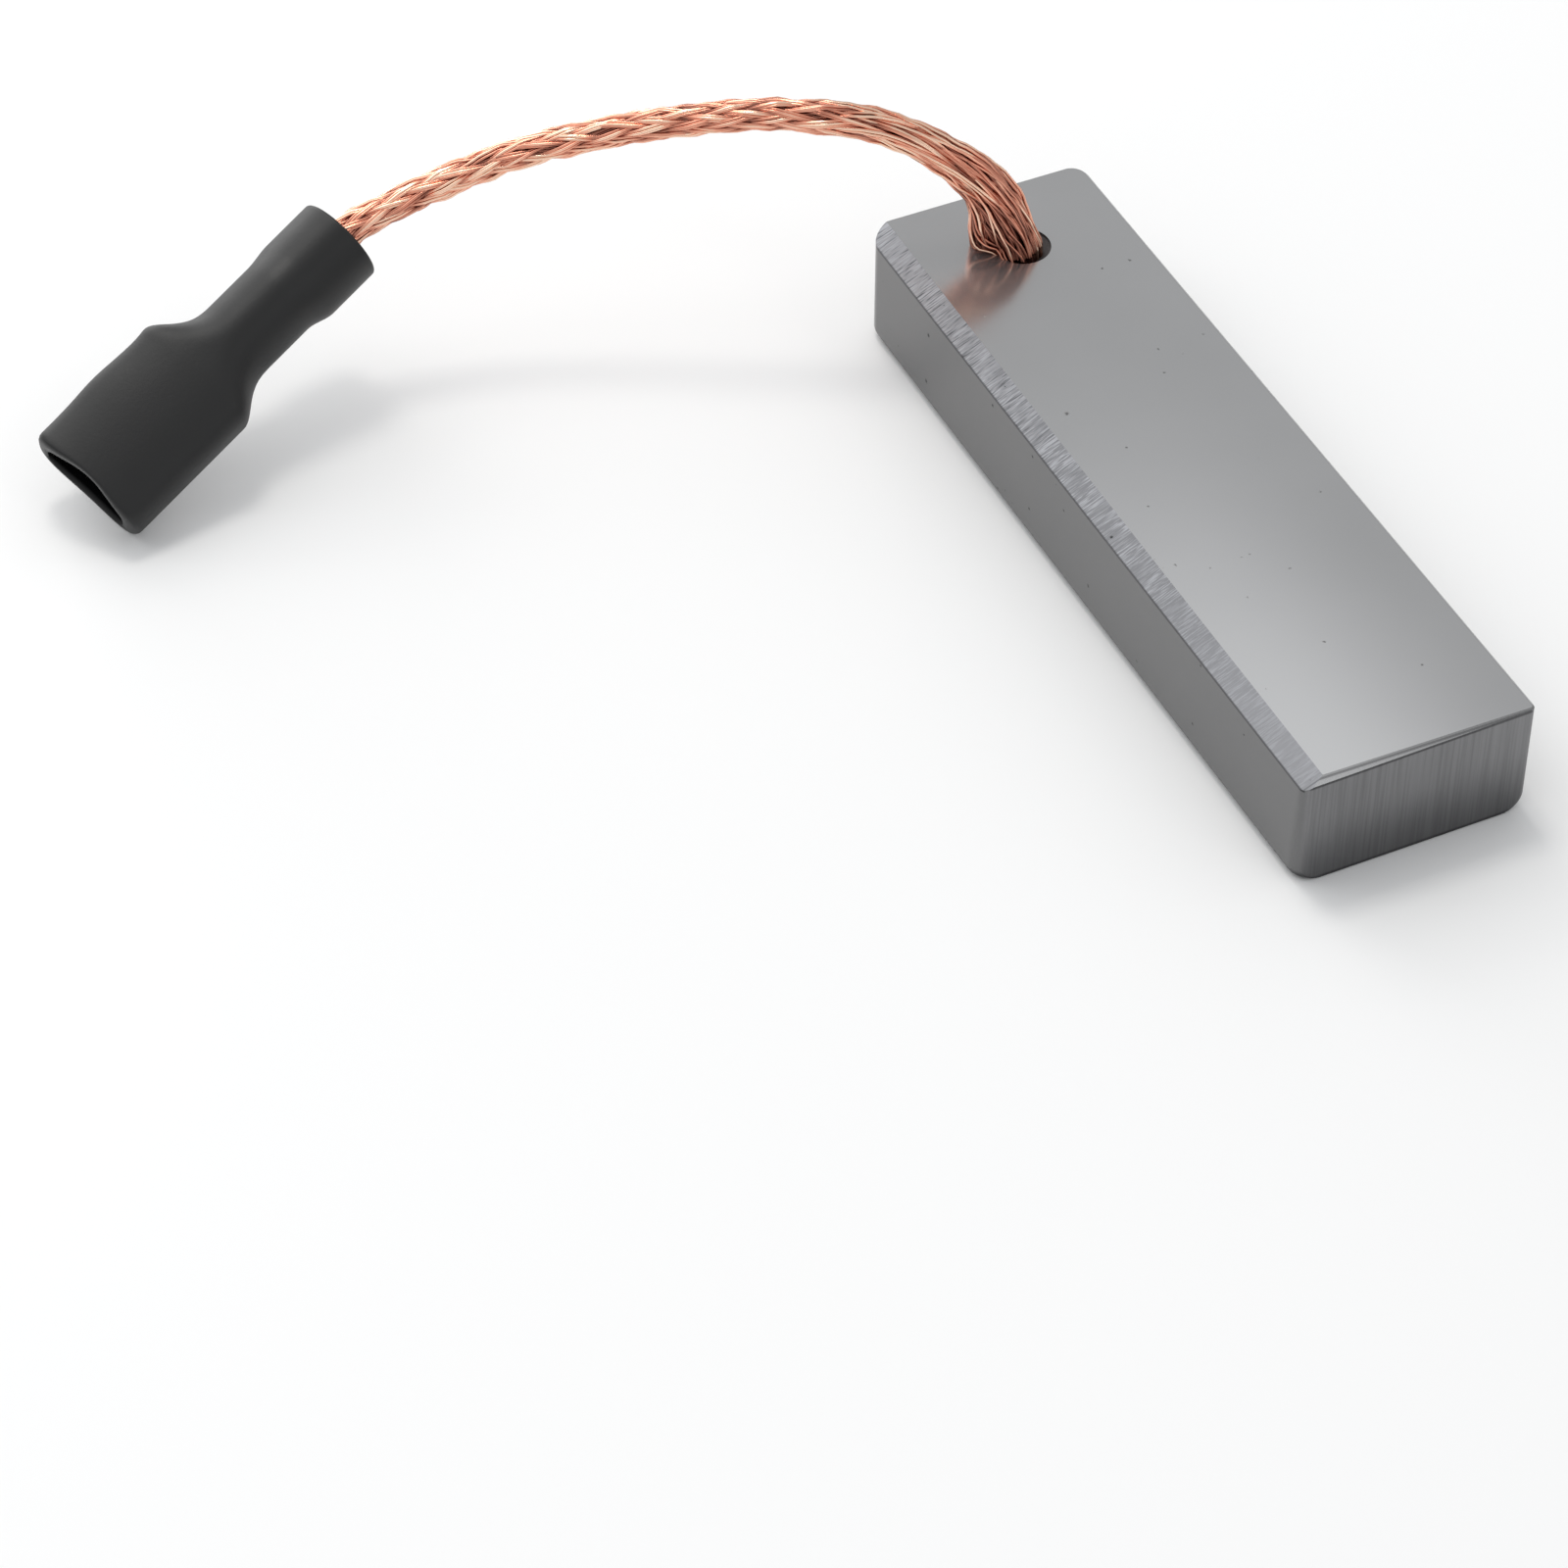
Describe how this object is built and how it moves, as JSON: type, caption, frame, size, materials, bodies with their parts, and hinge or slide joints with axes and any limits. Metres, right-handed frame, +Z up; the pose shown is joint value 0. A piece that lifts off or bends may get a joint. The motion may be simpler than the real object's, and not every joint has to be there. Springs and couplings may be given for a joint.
{
  "type": "carbon brush",
  "caption": "Rectangular carbon brush block with a braided copper lead tamped into its top face, ending in a push-on receptacle under a black shrunk sleeve.",
  "frame": {"origin": "centre of the block's bottom face, which lies on the ground", "axes": "+X along the block to its contact end, +Y away from the long chamfer, +Z up out of the face that the lead leaves"},
  "size_m": [0.0566, 0.0564, 0.0149],
  "materials": {
    "carbon": "satin",
    "tamping_powder": "matte",
    "copper_braid": "bright",
    "terminal_metal": "bright",
    "sleeve": "satin"
  },
  "bodies": {
    "root": {"carbon_block": "carbon", "tamping_plug": "tamping_powder", "pigtail": "copper_braid", "female_terminal": "terminal_metal", "insulating_sleeve": "sleeve"}
  },
  "joints": []
}
